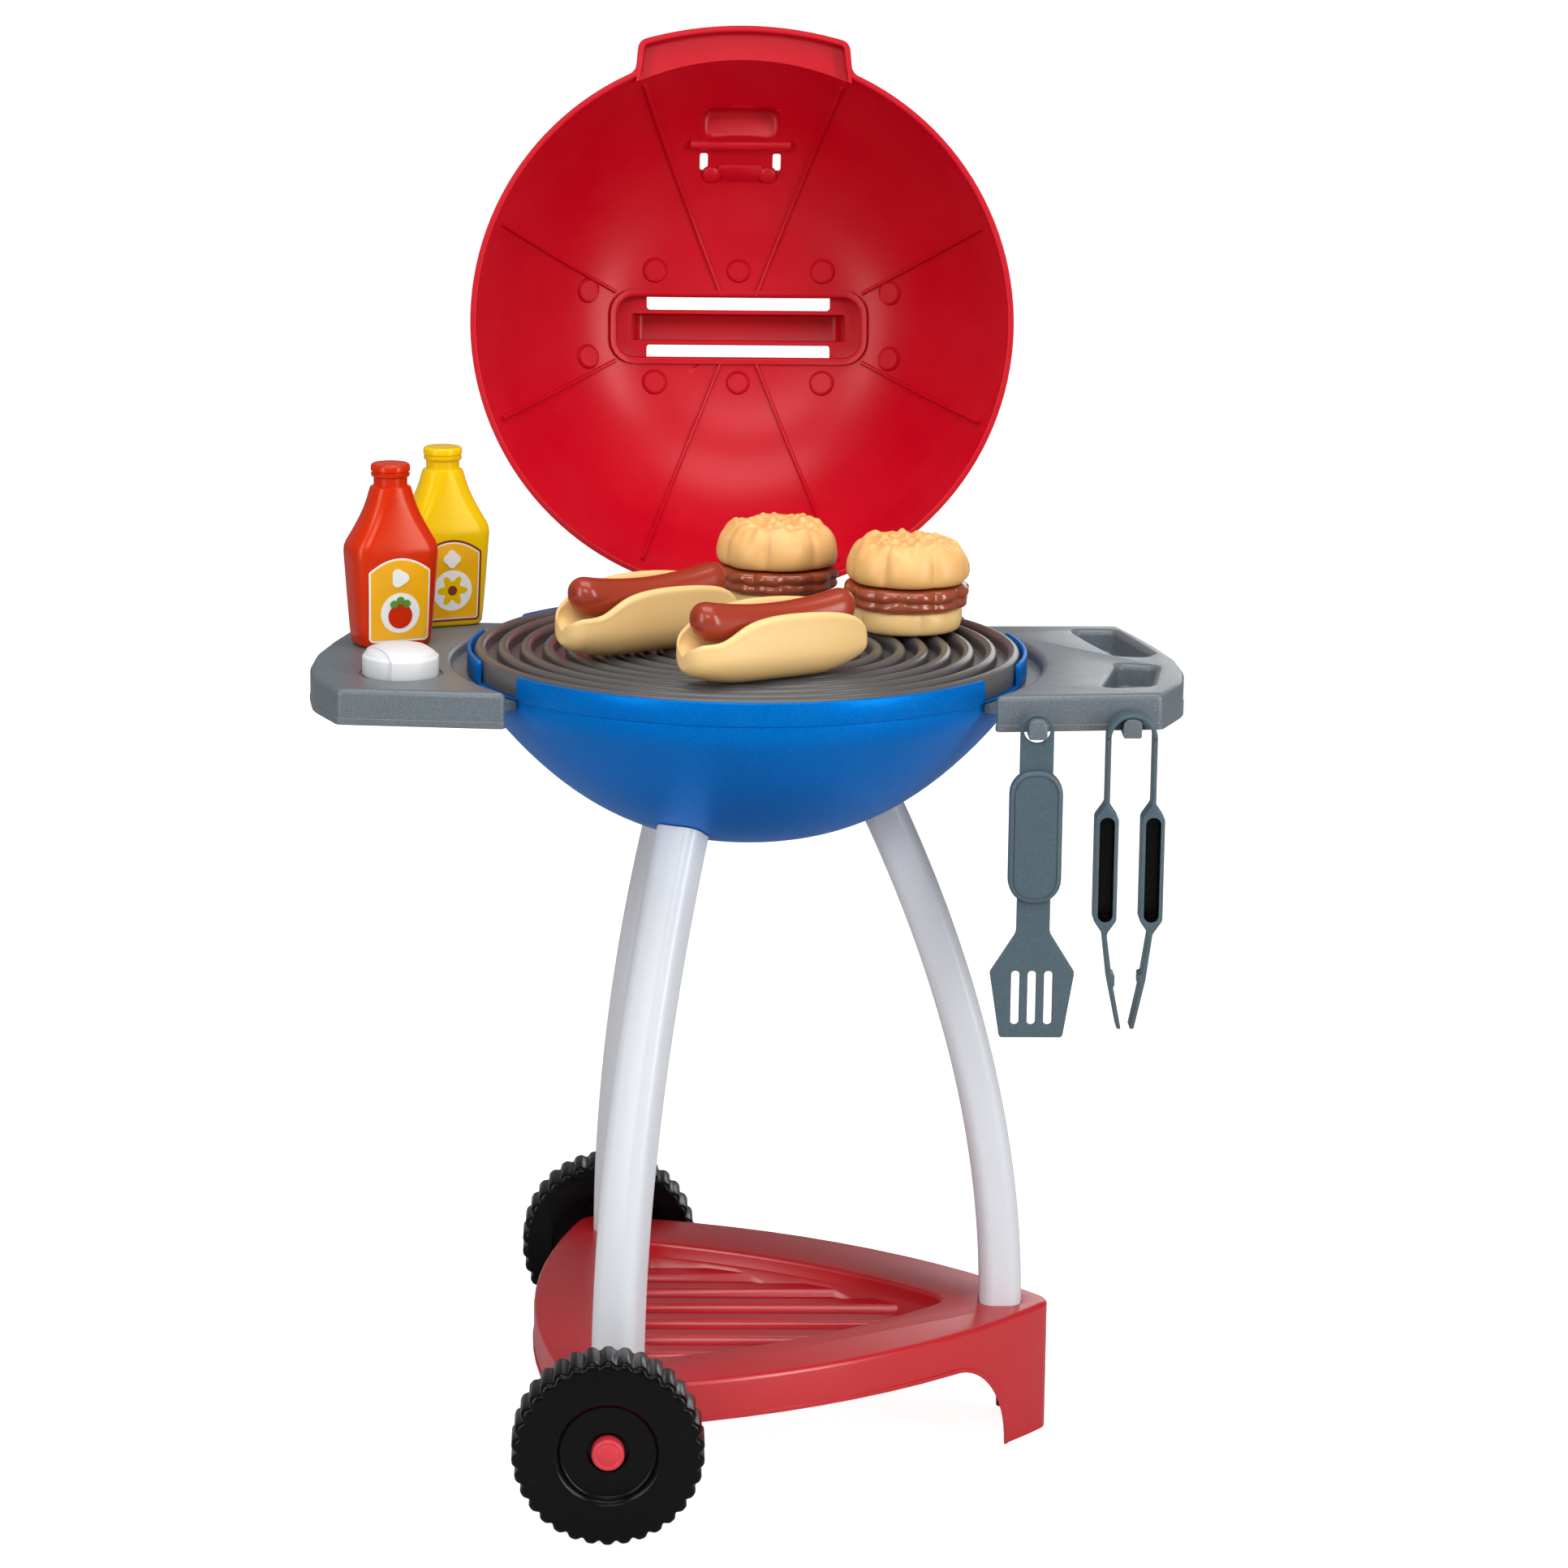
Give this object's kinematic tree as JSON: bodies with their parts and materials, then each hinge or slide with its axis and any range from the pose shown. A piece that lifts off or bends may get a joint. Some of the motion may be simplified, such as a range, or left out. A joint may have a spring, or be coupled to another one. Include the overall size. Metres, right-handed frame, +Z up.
{
  "type": "toy barbecue grill",
  "caption": "Toy kettle barbecue on curved legs over a wheeled base, with a hinged lid, side trays, toy food, sauce bottles and hanging utensils.",
  "frame": {"origin": "centre of the bounding box at floor level, with the lid open as in the picture", "axes": "+Z up, -Y the front from which one plays, +X the tray with the hooks, the two wheels at -X"},
  "size_m": [0.559, 0.6114, 0.9012],
  "materials": {
    "red_plastic": "satin moulded",
    "blue_shell": "satin with fine sparkle",
    "grey_plastic": "satin moulded",
    "warm_grey_plastic": "satin moulded",
    "slate_plastic": "satin moulded",
    "white_plastic": "satin moulded",
    "black_plastic": "fine texture",
    "plated_steel": "zinc plated",
    "cap_red_plastic": "satin moulded",
    "tomato_red_plastic": "satin with a printed label",
    "yellow_plastic": "satin with a printed label",
    "bun_plastic": "satin moulded",
    "sausage_plastic": "satin moulded",
    "patty_plastic": "satin moulded"
  },
  "bodies": {
    "grill": {"base": "red_plastic", "right_leg": "white_plastic", "rear_leg": "white_plastic", "front_leg": "white_plastic", "axle": "plated_steel", "front_axle_cap": "cap_red_plastic", "rear_axle_cap": "cap_red_plastic", "bowl": "blue_shell", "left_tray": "grey_plastic", "right_tray": "grey_plastic", "leg_screw_1": "plated_steel", "leg_screw_2": "plated_steel", "leg_screw_3": "plated_steel", "tray_screw_1": "plated_steel", "tray_screw_2": "plated_steel", "tray_screw_3": "plated_steel", "tray_screw_4": "plated_steel", "left_hinge_pin": "plated_steel", "right_hinge_pin": "plated_steel"},
    "lid_body": {"lid": "red_plastic"},
    "front_wheel_body": {"front_wheel": "black_plastic"},
    "rear_wheel_body": {"rear_wheel": "black_plastic"},
    "knob_body": {"knob": "white_plastic", "knob_clip": "black_plastic", "knob_screw": "plated_steel"},
    "grate_body": {"grate": "warm_grey_plastic"},
    "spatula_body": {"spatula": "slate_plastic"},
    "tongs_body": {"tongs_bow": "slate_plastic"},
    "tongs_left": {"tongs_left_arm": "slate_plastic"},
    "tongs_right": {"tongs_right_arm": "slate_plastic"},
    "ketchup": {"ketchup_bottle": "tomato_red_plastic"},
    "mustard": {"mustard_bottle": "yellow_plastic"},
    "left_hot_dog": {"left_hot_dog_bun": "bun_plastic"},
    "left_sausage_body": {"left_sausage": "sausage_plastic"},
    "front_hot_dog": {"front_hot_dog_bun": "bun_plastic"},
    "front_sausage_body": {"front_sausage": "sausage_plastic"},
    "back_burger": {"back_bottom_bun": "bun_plastic"},
    "back_patty_body": {"back_patty": "patty_plastic"},
    "back_top": {"back_top_bun": "bun_plastic"},
    "right_burger": {"right_bottom_bun": "bun_plastic"},
    "right_patty_body": {"right_patty": "patty_plastic"},
    "right_top": {"right_top_bun": "bun_plastic"}
  },
  "joints": [
    {"name": "lid_hinge", "type": "hinge", "parent": "grill", "child": "lid_body", "pos_m": [0, 0.11663, 0.5195], "axis": [-1, 0, 0], "range_deg": [-99.2, 0]},
    {"name": "front_wheel_spin", "type": "hinge", "parent": "grill", "child": "front_wheel_body", "pos_m": [-0.0866, -0.28592, 0.0603], "axis": [0, 1, 0], "continuous": true},
    {"name": "rear_wheel_spin", "type": "hinge", "parent": "grill", "child": "rear_wheel_body", "pos_m": [-0.0866, 0.14318, 0.0603], "axis": [0, 1, 0], "continuous": true},
    {"name": "knob_turn", "type": "hinge", "parent": "grill", "child": "knob_body", "pos_m": [-0.2205, -0.12407, 0.518], "axis": [0, 0, 1], "continuous": true},
    {"name": "spatula_swing", "type": "hinge", "parent": "grill", "child": "spatula_body", "pos_m": [0.17847, -0.19423, 0.49838], "axis": [0, -1, 0], "range_deg": [-20, 3]},
    {"name": "tongs_swing", "type": "hinge", "parent": "grill", "child": "tongs_body", "pos_m": [0.23797, -0.18942, 0.49329], "axis": [0, -1, 0], "range_deg": [-3, 20]},
    {"name": "tongs_right_squeeze", "type": "hinge", "parent": "tongs_body", "child": "tongs_right", "pos_m": [0.25247, -0.18942, 0.49329], "axis": [0, 1, 0], "range_deg": [-3, 0.72], "stiffness_Nm_per_rad": 0.3},
    {"name": "tongs_left_squeeze", "type": "hinge", "parent": "tongs_body", "child": "tongs_left", "pos_m": [0.22347, -0.18942, 0.49329], "axis": [0, -1, 0], "range_deg": [-3, 0.72], "stiffness_Nm_per_rad": 0.3},
    {"name": "ketchup_lift", "type": "slide", "parent": "grill", "child": "ketchup", "axis": [0, 0, 1], "range_m": [0, 0.16]},
    {"name": "mustard_lift", "type": "slide", "parent": "grill", "child": "mustard", "axis": [0, 0, 1], "range_m": [0, 0.16]},
    {"name": "grate_lift", "type": "slide", "parent": "grill", "child": "grate_body", "axis": [0, 0, 1], "range_m": [0, 0.06]},
    {"name": "left_hot_dog_lift", "type": "slide", "parent": "grate_body", "child": "left_hot_dog", "axis": [0, 0, 1], "range_m": [0, 0.08]},
    {"name": "left_sausage_lift", "type": "slide", "parent": "left_hot_dog", "child": "left_sausage_body", "axis": [0, 0, 1], "range_m": [0, 0.06]},
    {"name": "front_hot_dog_lift", "type": "slide", "parent": "grate_body", "child": "front_hot_dog", "axis": [0, 0, 1], "range_m": [0, 0.08]},
    {"name": "front_sausage_lift", "type": "slide", "parent": "front_hot_dog", "child": "front_sausage_body", "axis": [0, 0, 1], "range_m": [0, 0.06]},
    {"name": "back_burger_lift", "type": "slide", "parent": "grate_body", "child": "back_burger", "axis": [0, 0, 1], "range_m": [0, 0.08]},
    {"name": "back_patty_lift", "type": "slide", "parent": "back_burger", "child": "back_patty_body", "axis": [0, 0, 1], "range_m": [0, 0.05]},
    {"name": "back_top_bun_lift", "type": "slide", "parent": "back_patty_body", "child": "back_top", "axis": [0, 0, 1], "range_m": [0, 0.05]},
    {"name": "right_burger_lift", "type": "slide", "parent": "grate_body", "child": "right_burger", "axis": [0, 0, 1], "range_m": [0, 0.08]},
    {"name": "right_patty_lift", "type": "slide", "parent": "right_burger", "child": "right_patty_body", "axis": [0, 0, 1], "range_m": [0, 0.05]},
    {"name": "right_top_bun_lift", "type": "slide", "parent": "right_patty_body", "child": "right_top", "axis": [0, 0, 1], "range_m": [0, 0.05]}
  ],
  "couplings": [
    {"joint": "tongs_left_squeeze", "follows": "tongs_right_squeeze", "ratio": 1}
  ]
}
